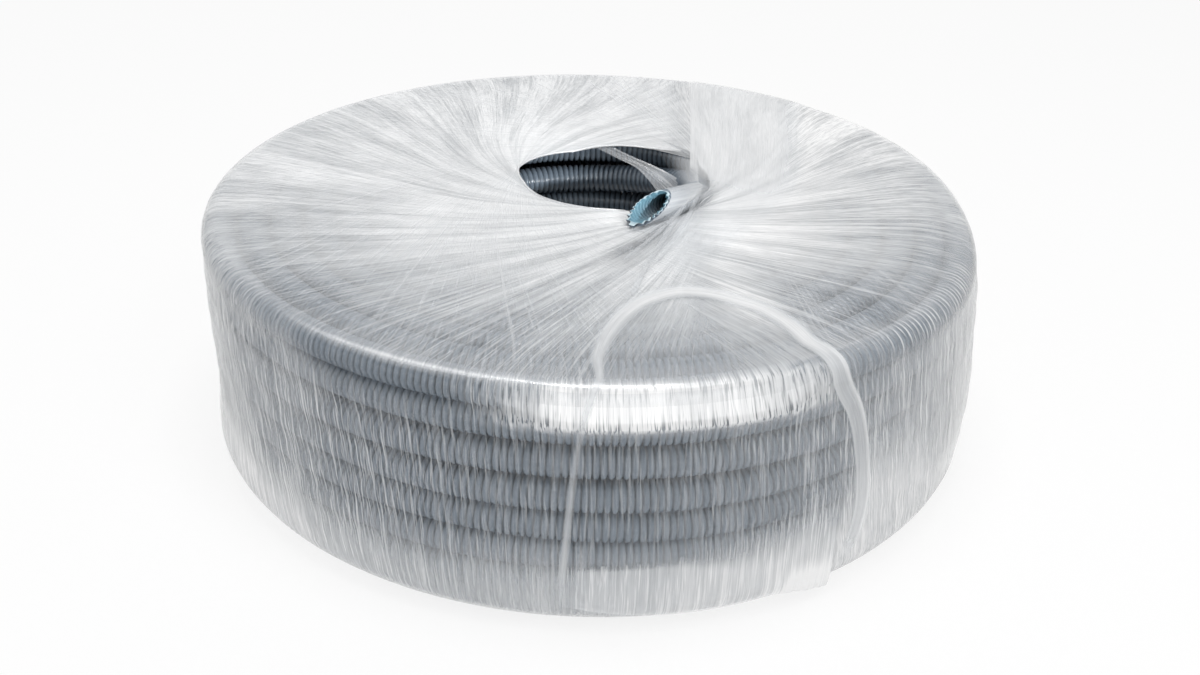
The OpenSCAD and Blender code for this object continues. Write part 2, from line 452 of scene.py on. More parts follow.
conduit = {
    "od": 16.0, "bore": 11.4, "wall": 0.5, "ribPitch": 3.3,
    "rows": 8, "layers": 7, "firstRadius": 94.5, "layerPitch": 17.0, "firstHeight": 8.8,
    "lowShift": 2.99,  # the lowest outer turn is drawn in and up by this
    "sides": 12, "pathPoints": 420,
    "drift": 0.5, "driftWaves": (2, 3, 5), "heightDrift": 0.7,  # how far a turn wanders from its true circle
    "pull": 0.3,  # how much tighter the turns lie than in the frame
    "shoulder": 5.7, "upperRows": 100.0,  # where the film presses on a turn, on the upper rows from above too
    "rowShift": {  # the front rows sag: move up elsewhere, and at the front
        6: (1.5, 0.0), 5: (-0.3, -1.2), 4: (-0.9, -2.7), 3: (0.0, -3.0), 2: (0.0, -1.5)},
    "sagAzimuth": -76.0, "sagWidth": 26.0,
    "innerDrop": 4.2, "innerAzimuth": 95.0, "innerWidth": 75.0,  # the innermost rows hang lower at the back
    "seed": 7,
}
settled = [  # where it is pressed out of true: azimuth, its width, height, reach, move outwards, move up
    (-9.0, 28.0, 130.0, 22.0, -4.2, -4.2),
    (0.0, 32.0, 46.0, 28.0, 3.4, 0.0),
    (180.0, 32.0, 46.0, 28.0, -3.0, 0.0),
]
lastRadius = conduit["firstRadius"] + (conduit["layers"] - 1) * conduit["layerPitch"]
tubeRadius = conduit["od"] / 2
valleyRadius = conduit["bore"] / 2 + conduit["wall"]
ribbing = tubeTree(ribStations)
chance = np.random.default_rng(conduit["seed"])


def settle(az, r, z):  # how far a point on the outside moves out and up
    out, up = 0.0, 0.0
    for at, wide, height, reach, moveOut, moveUp in settled:
        away = np.hypot(r - lastRadius - tubeRadius, z - height)
        share = hill(turned(az, at), 0, wide) * hill(away, 0, reach)
        out, up = out + moveOut * share, up + moveUp * share
    return out, up


def outerShift(row, az):
    elsewhere, front = conduit["rowShift"].get(row, (0.0, 0.0))
    return elsewhere + (front - elsewhere) * hill(turned(az, conduit["sagAzimuth"]), 0, conduit["sagWidth"])


def innerShift(row, az):
    drop = conduit["innerDrop"] * row / (conduit["rows"] - 2)
    return -drop * hill(turned(az, conduit["innerAzimuth"]), 0, conduit["innerWidth"])


def ringPath(radius, row, shift=0.0, sag=None):
    c = conduit
    a = np.linspace(0, 2 * math.pi, c["pathPoints"], endpoint=False)
    drift = np.zeros((2, len(a)))
    for k in c["driftWaves"]:
        for axis in (0, 1):
            drift[axis] += c["drift"] / k * np.cos(k * a + chance.uniform(0, 2 * math.pi))
    a = a + chance.uniform(0, 2 * math.pi)  # so that the ribs of neighbours do not line up
    r = radius - shift + drift[0] - c["pull"]
    z = c["firstHeight"] + row * c["od"] + shift + drift[1] * c["heightDrift"]
    if sag:
        z = z + sag(row, np.degrees(a))
    out, up = settle(np.degrees(a), r + c["shoulder"], z + c["shoulder"] * (z > c["upperRows"]))
    return polar(r + out, a, z + up), True


def tubeInputs(openEnds=0):
    return {
        "Rib Pitch": conduit["ribPitch"] * mm, "Crest Radius": tubeRadius * mm,
        "Valley Radius": valleyRadius * mm, "Sides": conduit["sides"], "Open Ends": openEnds, "Material": pvc}


freeEnd = {
    "mouth": (27.462, -26.285, 134.6),  # middle of the slanted cut
    "outward": (-0.501838, -0.835198, 0.224951),
    "side": (0.857167, -0.515038, 0.0),
    "straight": 42.7, "bendRadius": 61.0, "bendTurn": 30.0, "bendStep": 1.0,
    "cut": 25.0,  # angle between the cut and the tube
    "joinAzimuth": 100.0, "joinRow": 6, "joinPoints": 34,  # where it has settled into the innermost layer
    "leaveAzimuth": 360.0, "leaveTurn": 38.0, "turnStep": 0.8,  # where that turn moves out to the next layer
    "around": 60, "ribs": 20, "toe": 20.0,  # points around the cut end, its ribs, how far the cut may reach
    "ribAt": (0.0, 0.46, 0.62, 0.84, 1.0), "ribDepth": (0.0, 0.0, 1.0, 1.0, 0.0),  # rib top to rib top
    "stations": (0.0, 0.23, 0.46, 0.54, 0.62, 0.73, 0.84, 0.92),  # rings in one rib
    "searchSteps": 1800, "ringGap": 0.02,  # steps that find the cut, and no ring nearer to it than this
    "boreShadeFade": (3.0, 26.0), "boreShadeLoss": 0.8,  # the bore's lighter colour fades inwards: painted shade deeper in the tube
    "sawnInside": 0.3,  # how light the cut is at its inner edge
}
mouth, outward, side = (np.array(freeEnd[k]) for k in ("mouth", "outward", "side"))
upward = np.cross(outward, side)


def freeEndPath():
    f, row = freeEnd, freeEnd["joinRow"]
    line = []
    for turn in np.radians(np.arange(0, f["bendTurn"], f["bendStep"])):
        back, aside = f["straight"] + f["bendRadius"] * math.sin(turn), f["bendRadius"] * (1 - math.cos(turn))
        line.append(mouth - outward * back - side * aside)
    start, startWay = line[-1], line[-1] - line[-2]
    a = math.radians(f["joinAzimuth"])
    r, z = conduit["firstRadius"], conduit["firstHeight"] + row * conduit["od"]
    end = polar(r, a, z + innerShift(row, f["joinAzimuth"]))
    endWay = np.array([-math.sin(a), math.cos(a), 0])
    span = np.linalg.norm(end - start)
    startWay = startWay / np.linalg.norm(startWay)
    for t in np.linspace(0, 1, f["joinPoints"])[1:]:
        line.append(curveBetween(t, start, span * startWay, end, span * endWay))
    last = f["leaveAzimuth"] + f["leaveTurn"]
    for az in np.arange(f["joinAzimuth"] + f["turnStep"], last, f["turnStep"]):
        out = r + conduit["layerPitch"] * smooth(f["leaveAzimuth"], last, az)
        line.append(polar(out, math.radians(az), z + innerShift(row, az)))
    return np.array(line), False


def mouthPiece(name):  # the cut end with its real wall: both skins share their rib stations
    f, m, pitch = freeEnd, freeEnd["around"], conduit["ribPitch"]
    slope = math.tan(math.radians(f["cut"]))
    inRib = np.array(f["stations"])
    stations = np.concatenate([pitch * (k + inRib) for k in range(f["ribs"])]) - f["straight"]
    search = np.linspace(-f["straight"] / 2, f["toe"], f["searchSteps"])
    points, faces, bore, crest, rims = [], [], [], [], []

    def ribRadius(x):
        depth = np.interp(((x + f["straight"]) / pitch) % 1.0, f["ribAt"], f["ribDepth"])
        return tubeRadius - (tubeRadius - valleyRadius) * depth

    def keep(skin, x, angle, reach):
        r = float(ribRadius(x))
        spoke = upward * math.cos(angle) + side * math.sin(angle)
        points.append(mouth + outward * x + spoke * (r - skin * conduit["wall"]))
        # the bore colour's share drops further from the cut: painted shade inside the tube
        bore.append(float(skin * (1 - f["boreShadeLoss"] * smooth(*f["boreShadeFade"], reach - x))))
        crest.append((r - valleyRadius) / (tubeRadius - valleyRadius))
        return len(points) - 1

    for skin in (0, 1):  # outside, inside
        at = np.full((len(stations), m), -1)
        rim = np.zeros(m, int)
        for j, angle in enumerate(np.linspace(0, 2 * math.pi, m, endpoint=False)):
            above = search + (ribRadius(search) - skin * conduit["wall"]) * math.cos(angle) / slope
            reach = search[np.argmax(above >= 0)]  # where the cut meets the wall
            for i, x in enumerate(stations):
                if x < reach - f["ringGap"]:
                    at[i, j] = keep(skin, x, angle, reach)
            rim[j] = keep(skin, reach, angle, reach)
            at[at[:, j] < 0, j] = rim[j]
        for i in range(len(stations) - 1):
            for j in range(m):
                k = (j + 1) % m
                loop = [at[i, j], at[i + 1, j], at[i + 1, k], at[i, k]]
                loop = [int(v) for n, v in enumerate(loop) if v not in loop[:n]]
                if len(loop) > 2:
                    faces.append(loop if skin else loop[::-1])
        rims.append(rim)
    start = len(points)
    cut = [0.0] * start + [1.0] * m + [f["sawnInside"]] * m
    for skin, rim in enumerate(rims):  # the sawn face has its own points, so that its colour stays on it
        points += [points[v] for v in rim]
        bore, crest = bore + [float(skin)] * m, crest + [1.0] * m
    faces += gridFaces(2, m, True, start=start)
    return meshPiece(name, points, faces, pvc, {"crest": crest, "bore": bore, "cut": cut})


def windConduit():
    c = conduit
    rows, half = range(c["rows"]), c["rows"] // 2
    radii = [c["firstRadius"] + k * c["layerPitch"] for k in range(c["layers"] - 1)]
    lowShifts = [c["lowShift"]] + [0.0] * (half - 1)
    runs = {
        "conduit_outer_upper": [ringPath(lastRadius, row, sag=outerShift) for row in rows[half:]],
        "conduit_outer_lower": [ringPath(lastRadius, row, lowShifts[row], outerShift) for row in rows[:half]],
        "conduit_top": [ringPath(r, rows[-1]) for r in radii],
        "conduit_bottom": [ringPath(r, 0) for r in radii],
        "conduit_inner": [ringPath(c["firstRadius"], row, sag=innerShift) for row in rows[1:-2]],
    }
    for name, paths in runs.items():
        dress(grow(name, paths, ribbing, tubeInputs()), "conduit")
    dress(grow("conduit_free_end", [freeEndPath()], ribbing, tubeInputs(1)), "conduit")
    dress(mouthPiece("conduit_mouth"), "conduit")


windConduit()
print("conduit wound")


# Stretch film: two full wraps whose pull lines swirl opposite ways round the eye

wrap = {
    "eye": (8.0, 28.0),
    "lip": [  # azimuth round the eye's middle and distance of the film's edge from it
        (0, 54), (20, 53), (30, 56.5), (39, 61), (50, 53.6), (61.7, 48.6), (88.7, 45.7), (120, 40.0),
        (147.3, 47.0), (171, 51.1), (194, 48.1), (219.2, 48.0), (243, 46.1), (263.6, 45.5), (280, 46.5),
        (291, 55), (303, 60), (315, 56), (335, 54.5), (346, 55)],
    "lipStep": 2.0, "lipGap": 0.6,  # degrees over which the lip is rounded, mm between the wraps' lips
    "bottomLip": 48.5,
    "radius": 205.3, "corner": 8.8, "lowCorner": 19.0, "height": 129.6,
    "columns": 640,
    "topRows": 38, "cornerRows": 7, "wallRows": 30, "lowRows": 7, "bottomRows": 16,
    "topSpacing": 1.25,  # rows on the top lie closer near the eye
    "groove": 0.45,  # how far it is drawn in between the rows
    "underside": (0.3, 0.05),  # how far the inner and the outer wrap stay above the floor
    "lean": [  # turn of the lines down the wall
        (-180, 7.0), (-135, 8.0), (-112, 4.0), (-92, 1.5), (-72, 2.5), (-50, 6.0), (0, 6.0)],
    # Way along a pull line in mm, as the patterns count it from the rim: over the top and the bottom,
    # for each row of the corners, and where the wall, the lower corner and the bottom start
    "topRun": 150.0, "cornerRun": 2.0, "lowRun": 4.2, "wallFrom": 16.0, "lowFrom": 120.0, "bottomFrom": 150.0,
    "layerRun": 500.0,  # so that the two wraps have patterns of their own
}
facet = {  # flat stretch of the outer wrap across the top turn, which mirrors the front lamp; its haze is also raised there into a painted highlight
    "span": (-107.0, -91.0, -67.0, -59.0),  # azimuths where it starts, is flat, and ends
    "line": [  # radius and height of its rows
        (201.2, 128.6), (202.6, 127.4), (203.7, 124.4), (204.8, 121.2), (205.9, 117.9), (207.0, 114.6),
        (208.1, 111.3)],
    "foot": 5.0, "footRun": (98.0, 106.0),  # how far below it the wall still stands out, and is not drawn in
    # where and how much the haze is raised into the painted glare band
    "white": (-111.0, -103.0, -60.0, -53.0), "whiteAbove": (107.0, 111.0), "whiteOutside": (200.0, 202.0),
    "cover": [(-111, 0.04), (-105, 0.14), (-99, 0.5), (-93, 0.84), (-74, 0.9), (-66, 0.74), (-56, 0.5)],
    "lines": 0.35,
    "fray": 0.12,  # gaps in its middle, and more of them towards its lower, upper, left and right edges
    "frayHeights": [(0.75, 117.0, 110.0), (0.2, 121.0, 126.0)],
    "frayAzimuths": [(0.5, -90.0, -104.0), (0.26, -78.0, -64.0)],
    "frayMost": 0.9,
}
eye = np.array(wrap["eye"])
straightUp = np.array((0.0, 0.0, 1.0))


def lipRadius(angle):
    fine = np.arange(0, 360, wrap["lipStep"])
    base = byAzimuth(wrap["lip"], fine)
    base = (np.roll(base, 1) + 2 * base + np.roll(base, -1)) / 4
    return np.interp(angle, fine, base, period=360)


swirl = {
    "reach": 48.0,  # how far the pull lines pass beside the eye's middle
    "swing": 0.3, "swingRun": (55.0, 105.0),  # how much wider they swing on the way out
    "fade": 0.4, "fadeRun": (165.0, 200.0),  # how much they straighten towards the rim
    "outer": 200.0, "steps": 1500,
}


def swirlTable(s):  # turn of a pull line round the eye, from the lip (0) out to the rim (1)
    rho = np.linspace(s["reach"] * 1.0005, s["outer"], s["steps"])  # from just outside the circle they touch
    swing = 1 + s["swing"] * smooth(*s["swingRun"], rho)
    fade = 1 - s["fade"] * smooth(*s["fadeRun"], rho)
    lean = np.clip(s["reach"] * swing * fade / rho, 0, 0.9995)
    rate = lean / np.sqrt(1 - lean**2) / rho
    turn = np.concatenate([[0], np.cumsum((rate[1:] + rate[:-1]) / 2 * np.diff(rho))])
    return (rho - rho[0]) / (rho[-1] - rho[0]), np.degrees(turn)


swirlAt, swirlTurn = swirlTable(swirl)


def rimDistance(angle, radius):  # from the eye's middle to a circle round the coil's axis
    b = np.stack([np.cos(angle), np.sin(angle)], -1) @ eye
    return -b + np.sqrt(b * b + radius**2 - eye @ eye)


rolledEdge = {  # azimuth and height on the wall, then plan points on the top, then the wall again
    "leftLeg": [(-93.0, 20), (-92.6, 36), (-92.3, 52), (-91.7, 79), (-91.0, 104)],
    "crown": [
        (3.5, -181), (8.0, -157), (15.4, -137), (27.2, -121), (41.5, -112.8), (55.5, -114), (69, -121.0),
        (78.8, -127.4), (86.5, -137.0), (92.6, -147.5), (97.0, -158.5)],
    "rightLeg": [
        (-56.4, 113), (-55.0, 104.5), (-52.6, 82), (-51.4, 60), (-51.2, 41.5), (-52.7, 23.6), (-54.3, 17.5)],
    "run": [  # share of the way, width, cover
        (0.0, 7.0, 0.35), (0.04, 5.0, 0.5), (0.2, 3.6, 0.28), (0.27, 5.0, 0.5), (0.34, 10.0, 0.62),
        (0.46, 14.0, 0.75), (0.58, 14.0, 0.78), (0.66, 13.0, 0.88), (0.72, 11.0, 0.85), (0.8, 10.5, 0.74),
        (0.94, 10.5, 0.82), (1.0, 9.0, 0.66)],
    "leg": (0.66, 0.74), "legMiddle": 0.58,  # where the right leg starts, how milky it is between its edges
    "legEdges": [(-0.74, 0.75), (0.74, 0.35)], "legEdgeWidth": 0.16,  # its outer edge is the brighter one
    "fadeIn": (0.0, 0.02), "fadeOut": (0.96, 1.0),
    "arch": (3.0, 8.0, 99.0, 104.0), "archSoft": 7.0, "archCalm": 0.6,  # the film under its arch is calmer
    "lift": 0.9, "rows": 300, "columns": 11,
    "marks": {"lines": 0.05, "strands": 0.05, "grain": 0.5}, "start": 2300.0,
}


def underArch(x, y):  # inside the rolled edge's arch, on the top
    edge = np.interp(x, *np.array(rolledEdge["crown"], float).T)
    return smooth(0, rolledEdge["archSoft"], edge - y) * within(x, *rolledEdge["arch"])


fold = {  # hollow beside the free end
    "line": [(14.0, -70), (19.0, -64), (28.5, -54), (40.3, -31), (50.6, -8), (57.0, 14), (60.0, 24)],
    "run": (-100.0, -60.0, 6.0, 34.0), "width": 10.0, "loss": 0.6, "bandLoss": 0.6,
}


def besideFreeEnd(x, y):  # weight of the hollow beside the free end
    line = np.array(fold["line"])
    return hill(x, np.interp(y, line[:, 1], line[:, 0]), fold["width"]) * within(y, *fold["run"])


clinging = {  # film that meets the free end stays this far from it, and leaves it beside its flat middle
    "under": {
        "gap": 0.8, "flat": 5.0, "slope": 0.9, "run": (-18.5, -15.0, 36.0, 52.0),
        "within": 86.0, "lower": 0.3},  # only this near the axis, and the inner wrap lower than the outer
    "over": {"gap": 0.9, "flat": 3.5, "slope": 0.62, "run": (-16.0, -5.0)},
    "away": 40.0,  # before the mouth and far behind it, the film is nowhere near
}


def fromMouth(x, y):  # way back from the mouth, way aside, and height of the tube's axis there
    q = np.stack([x - mouth[0], y - mouth[1]], -1)
    level = math.hypot(*outward[:2])
    back = q @ outward[:2] / -level
    return back, q @ side[:2], mouth[2] - back * outward[2] / level


def underTube(x, y):  # height of film that passes under the free end
    back, aside, axis = fromMouth(x, y)
    c = clinging["under"]
    height = axis - tubeRadius - c["gap"] + c["slope"] * np.maximum(np.abs(aside) - c["flat"], 0)
    return height + clinging["away"] * (1 - within(back, *c["run"]))


def overTube(x, y):  # height of film that hangs over the free end
    back, aside, axis = fromMouth(x, y)
    c = clinging["over"]
    height = axis + tubeRadius + c["gap"] - c["slope"] * np.maximum(np.abs(aside) - c["flat"], 0)
    return height - clinging["away"] * (1 - smooth(*c["run"], back))


milk = {  # how milky the two wraps are, by azimuth where a list is given
    "middle": 0.9,  # on the top, round the eye
    "clearFrom": [  # radius where the top starts to clear
        (-180, 90), (-165, 75), (-150, 105), (-135, 108), (-120, 66), (-90, 62), (-75, 95), (-60, 105),
        (-45, 72), (-30, 90), (-15, 85), (0, 76)],
    "clearTo": 186.0,
    "rimLoss": [  # what it has lost there
        (-180, 0.18), (-165, 0.36), (-150, 0.6), (-135, 0.74), (-120, 0.64), (-105, 0.65), (-90, 0.62),
        (-75, 0.64), (-60, 0.45), (-45, 0.78), (-30, 0.58), (-15, 0.56), (0, 0.38), (15, 0.32), (30, 0.12),
        (45, 0.03), (120, 0.03), (135, 0.06), (165, 0.14)],
    "rim": (194.0, 199.0),  # radii where the top turns down
    "rimClear": [  # what the rim itself loses
        (-180, 0.0), (-160, 0.0), (-150, 0.05), (-141, 0.3), (-133, 0.6), (-125, 0.85), (-104, 0.85),
        (-97, 0.5), (-62, 0.4), (-36, 0.36), (-24, 0.12), (-12, 0.0), (10, -0.1), (160, -0.1)],
    "rightSide": (35.0, 70.0), "outerLeft": 0.22, "innerRight": 0.25,  # where one wrap gives way to the other
    "shoulder": (114.0, 128.0),  # heights between which the wall becomes the top
    "wall": [
        (-180, 0.8), (-168, 0.8), (-161, 0.77), (-154, 0.72), (-147, 0.6), (-140, 0.46), (-133, 0.43),
        (-126, 0.27), (-119, 0.14), (-112, 0.1), (-98, 0.09), (-78, 0.13), (-70, 0.2), (-63, 0.25),
        (-56, 0.33), (-49, 0.45), (-42, 0.5), (-35, 0.68), (-28, 0.83), (0, 0.86), (90, 0.5)],
    "wallMost": 0.92,
    "low": [  # more of it low down
        (-180, 0.46), (-140, 0.54), (-100, 0.52), (-90, 0.6), (-62, 0.56), (-56, 0.56), (-50, 0.62),
        (-42, 0.54), (-34, 0.32), (-20, 0.06), (90, 0.2)],
    "lowHeights": (16.0, 56.0), "riseHeights": (14.0, 44.0),  # where the foot fades, and how far it rises
    "lowRise": [(-180, 0), (-56, 0), (-50, 0.9), (-42, 0.9), (-32, 0), (90, 0)],  # where it reaches higher
    "bottom": 0.5, "bottomBelow": 3.0, "bottomInside": 186.0,
    "wallLines": [  # white lines on the wall
        (-180, 0.75), (-150, 0.72), (-128, 0.7), (-114, 0.44), (-100, 0.25), (-75, 0.26), (-62, 0.42),
        (-45, 0.6), (0, 0.6)],
    "topLines": 0.3, "topStrands": 0.34, "wallStrands": 0.14,
    "strandsInside": (182.0, 197.0), "strandsBelow": (100.0, 112.0),
    "rimLines": 0.75, "rimLinesAbove": (96.0, 114.0),  # share of the lines that a clear rim loses
    "fray": 0.16, "calmGrain": 0.15,
    "outside": (196.0, 200.0),  # radii past which a point is on the outermost turn
    "glint": (-138.0, -118.0, -101.0, -93.0),  # where only the crest of the top turn is white, a painted highlight, and dark below
    "paintedGlintHaze": 0.55, "glintAt": (200.4, 128.7), "glintWidth": 1.8,
    "darkHaze": 0.8, "darkLines": 0.5, "darkHeight": 119.0, "darkWidth": 6.0,
    "edge": (-172.0, -150.0, -40.0, -28.0),  # a faint white line along the rim of the top, a painted highlight on its crest
    "edgeGlintHaze": 0.16, "edgeRadius": 195.5, "edgeWidth": 4.5, "edgeAbove": (126.0, 128.5),
    "leftCorner": (-172.0, -158.0, -138.0, -126.0),  # a streaky patch on the upper left corner
    "cornerHaze": 0.17, "cornerHeight": 122.0, "cornerWidth": 7.0,
    "cornerFray": 0.5, "cornerFrayAbove": (96.0, 106.0),
    "comb": (-56.0, -44.0, -24.0, -14.0),  # white teeth on the rim at the right, painted highlights on the rib tops
    "combStrength": 0.75, "combAt": (201.0, 126.0), "combWidth": 8.0,
}


def topHaze(x, r, az, layer):
    start = byAzimuth(milk["clearFrom"], az)
    cleared = np.clip((r - start) / (milk["clearTo"] - start), 0, 1)
    top = milk["middle"] - byAzimuth(milk["rimLoss"], az) * cleared
    right = smooth(*milk["rightSide"], x)
    if layer:
        return top * (milk["outerLeft"] + (1 - milk["outerLeft"]) * right)
    return top * (1 - (1 - milk["innerRight"]) * right)


def wallHaze(az, z):  # what one of the two wraps gives
    rise = byAzimuth(milk["lowRise"], az)
    start, end = (low + more * rise for low, more in zip(milk["lowHeights"], milk["riseHeights"]))
    both = byAzimuth(milk["wall"], az) + byAzimuth(milk["low"], az) * (1 - smooth(start, end, z))
    return 1 - np.sqrt(1 - np.clip(both, 0, milk["wallMost"]))


def paintFacetGlare(fields, r, az, z):  # on the outer wrap: raises haze and lines over the flat stretch, a painted highlight on top of the front lamp's reflection
    f = facet
    white = within(az, *f["white"]) * smooth(*f["whiteAbove"], z) * smooth(*f["whiteOutside"], r)
    fray = f["fray"] + sum(share * smooth(start, full, z) for share, start, full in f["frayHeights"])
    fray = fray + sum(share * smooth(start, full, az) for share, start, full in f["frayAzimuths"])
    wanted = {"haze": byAzimuth(f["cover"], az), "lines": f["lines"], "strands": 0.0,
              "fray": np.clip(fray, 0, f["frayMost"])}
    for key, value in wanted.items():
        fields[key] = fields[key] + (value - fields[key]) * white


def cover(p, layer):  # how milky a wrap is at each point, and how strong its lines, strands and gaps are
    m = milk
    x, y, z = p.T
    r, az = np.hypot(x, y), np.degrees(np.arctan2(y, x))
    over, outside = smooth(*m["shoulder"], z), smooth(*m["outside"], r)
    clear = byAzimuth(m["rimClear"], az) * smooth(*m["rim"], r)
    top = topHaze(x, r, az, layer) * (1 - clear) * (1 - fold["loss"] * besideFreeEnd(x, y))
    haze = top * over + wallHaze(az, z) * (1 - over)
    calm = 1 - rolledEdge["archCalm"] * underArch(x, y)
    lines = m["topLines"] * calm * over + byAzimuth(m["wallLines"], az) * (1 - over)
    lines = lines * (1 - m["rimLines"] * clear * smooth(*m["rimLinesAbove"], z))
    strands = m["topStrands"] * calm * over * (1 - smooth(*m["strandsInside"], r))
    strands = strands + m["wallStrands"] * (1 - smooth(*m["strandsBelow"], z))
    haze = np.where((z < m["bottomBelow"]) & (r < m["bottomInside"]), m["bottom"], haze)
    glint = within(az, *m["glint"])
    dark = glint * hill(z, m["darkHeight"], m["darkWidth"]) * outside
    lines = lines * (1 - m["darkLines"] * dark)
    haze = haze * (1 - m["darkHaze"] * dark)
    # painted highlight: more haze along the crest of the top turn, where the overhead lamp glints
    fromCrest = np.hypot(r - m["glintAt"][0], z - m["glintAt"][1])
    haze = haze + m["paintedGlintHaze"] * glint * hill(fromCrest, 0, m["glintWidth"])
    edge = within(az, *m["edge"]) * hill(r, m["edgeRadius"], m["edgeWidth"]) * smooth(*m["edgeAbove"], z)
    corner = within(az, *m["leftCorner"]) * outside
    # painted highlight: a faint white line of haze along the rim's crest
    haze = haze + m["edgeGlintHaze"] * edge
    haze = haze + m["cornerHaze"] * corner * hill(z, m["cornerHeight"], m["cornerWidth"])
    fray = m["fray"] + m["cornerFray"] * corner * smooth(*m["cornerFrayAbove"], z)
    fromComb = np.hypot(r - m["combAt"][0], z - m["combAt"][1])
    # painted highlights: white teeth over the rib tops of the outermost turn
    comb = layer * m["combStrength"] * within(az, *m["comb"]) * hill(fromComb, 0, m["combWidth"])
    grain = m["calmGrain"] + (1 - m["calmGrain"]) * calm
    fields = {"haze": haze, "lines": lines, "strands": strands, "grain": grain, "comb": comb, "fray": fray}
    if layer:
        paintFacetGlare(fields, r, az, z)
    return fields


def cornerTilt(i):  # slope of the film's normal on a ring of the upper corner
    return math.radians(90 - 90 * (i + 1) / wrap["cornerRows"])


def cornerRow(i, flat, lift):  # radius and height of that ring: round, or flat across the top turn
    c = wrap["corner"] + lift
    r = wrap["radius"] - wrap["corner"] + c * math.cos(cornerTilt(i))
    z = wrap["height"] - wrap["corner"] + c * math.sin(cornerTilt(i))
    flatRadius, flatHeight = facet["line"][i]
    return r + (flatRadius + lift - r) * flat, z + (flatHeight - z) * flat


def wallRadius(z, flat, lift):  # drawn in a little between the rows, and out below the flat stretch
    groove = 0.5 - 0.5 * np.cos(2 * math.pi * (z - conduit["firstHeight"]) / conduit["od"])
    reach, foot = facet["line"][-1]
    bulge = flat * (reach - wrap["radius"]) * hill(np.minimum(z, foot), foot, facet["foot"])
    return wrap["radius"] + lift - wrap["groove"] * groove * (1 - flat * smooth(*facet["footRun"], z)) + bulge


def filmWrap(name, layer, spin, lean, lift):
    w = wrap
    n, top, flatRadius = w["columns"], w["height"] - w["corner"], w["radius"] - w["corner"]
    lipAz = np.linspace(0, 360, n, endpoint=False)
    lipDist = lipRadius(lipAz) + w["lipGap"] * layer
    rimAz = np.radians(lipAz - swirlTurn[-1] * spin)
    rim = eye + polar(rimDistance(rimAz, flatRadius), rimAz, 0.0)[:, :2]
    phi = np.unwrap(np.arctan2(rim[:, 1], rim[:, 0]))
    phiAz = np.degrees(np.arctan2(np.sin(phi), np.cos(phi)))
    flat = layer * within(phiAz, *facet["span"])
    turn = np.radians(lean * byAzimuth(w["lean"], phiAz))
    rows, along = [], []

    def keepRing(r, z, s):  # a ring round the coil's axis, its columns leaning as they go down
        rows.append(polar(r, phi + turn * (w["height"] - z) / w["height"], z))
        along.append(s)

    def keepSwirl(a, dist, z, s):  # a ring round the eye
        rows.append(polar(dist, a, z) + (*eye, 0.0))
        along.append(s)

    for t in np.linspace(0, 1, w["topRows"]) ** w["topSpacing"]:
        a = np.radians(lipAz - np.interp(t, swirlAt, swirlTurn) * spin)
        dist = lipDist + (rimDistance(a, flatRadius) - lipDist) * t
        keepSwirl(a, dist, w["height"] + lift, w["topRun"] * (t - 1))
    for i in range(w["cornerRows"]):
        keepRing(*cornerRow(i, flat, lift), w["cornerRun"] * (i + 1))
    foot = top + (facet["line"][-1][1] - top) * flat
    for t in np.linspace(0, 1, w["wallRows"] + 1)[1:]:
        z = foot + (w["lowCorner"] - foot) * t
        keepRing(wallRadius(z, flat, lift), z, w["wallFrom"] + top - z.mean())
    c = w["lowCorner"]
    for i, beta in enumerate(np.radians(np.linspace(0, 90, w["lowRows"] + 1)[1:])):
        r, z = w["radius"] - c + (c + lift) * math.cos(beta), c - (c - w["underside"][layer]) * math.sin(beta)
        keepRing(r, z, w["lowFrom"] + w["lowRun"] * (i + 1))
    low = rows[-1]
    lowAz = np.arctan2(low[:, 1] - eye[1], low[:, 0] - eye[0])
    for t in np.linspace(1, 0, w["bottomRows"])[1:]:
        a = lowAz - np.radians((swirlTurn[-1] - np.interp(t, swirlAt, swirlTurn)) * spin)
        dist = w["bottomLip"] + (rimDistance(a, w["radius"] - c) - w["bottomLip"]) * t
        keepSwirl(a, dist, low[0, 2], w["bottomFrom"] + w["topRun"] * (1 - t))
    points = np.concatenate(rows)
    fields = cover(points, layer)
    r, a = np.hypot(points[:, 0], points[:, 1]), np.arctan2(points[:, 1], points[:, 0])
    out, up = settle(np.degrees(a), r, points[:, 2])
    points = polar(r + out, a, points[:, 2] + up)
    under = clinging["under"]
    near = (points[:, 2] > w["height"] - 1) & (r < under["within"])  # on the top, round the eye
    most = underTube(points[near, 0], points[near, 1]) - under["lower"] * (1 - layer)
    points[near, 2] = np.minimum(points[near, 2], most)
    coords = np.concatenate([polar(w["radius"], phi, s + w["layerRun"] * layer) for s in along])
    faces = gridFaces(len(rows), n, True, flip=True)
    return meshPiece(name, points, faces, film, {"filmCoord": coords, **fields})


dress(filmWrap("film_inner_wrap", layer=0, spin=1.0, lean=0.45, lift=0.0), "stretch_film")
dress(filmWrap("film_outer_wrap", layer=1, spin=-1.0, lean=1.0, lift=0.35), "stretch_film")
print("film wrapped")


# Loose film: the band over the free end, the rolled edge, the strip across the eye, the hanging tail

def flowing(points, count):  # smooth line through the points, evenly spaced
    p = np.asarray(points, float)
    at = np.concatenate([[0], np.cumsum(np.linalg.norm(np.diff(p[:, :3], axis=0), axis=1))])
    way = np.gradient(p, at, axis=0)
    s = np.linspace(0, at[-1], count)
    k = np.clip(np.searchsorted(at, s, side="right") - 1, 0, len(p) - 2)
    h = (at[k + 1] - at[k])[:, None]
    t = (s - at[k])[:, None] / h
    return curveBetween(t, p[k], h * way[k], p[k + 1], h * way[k + 1])


def spanned(left, right, rows, columns):  # straight across between two edges
    t = np.linspace(0, 1, columns)[None, :, None]
    return flowing(left, rows)[:, None] * (1 - t) + flowing(right, rows)[:, None] * t


def shares(rows, columns):  # 0 to 1 across a sheet, and down it
    return np.linspace(0, 1, columns)[None, :], np.linspace(0, 1, rows)[:, None]


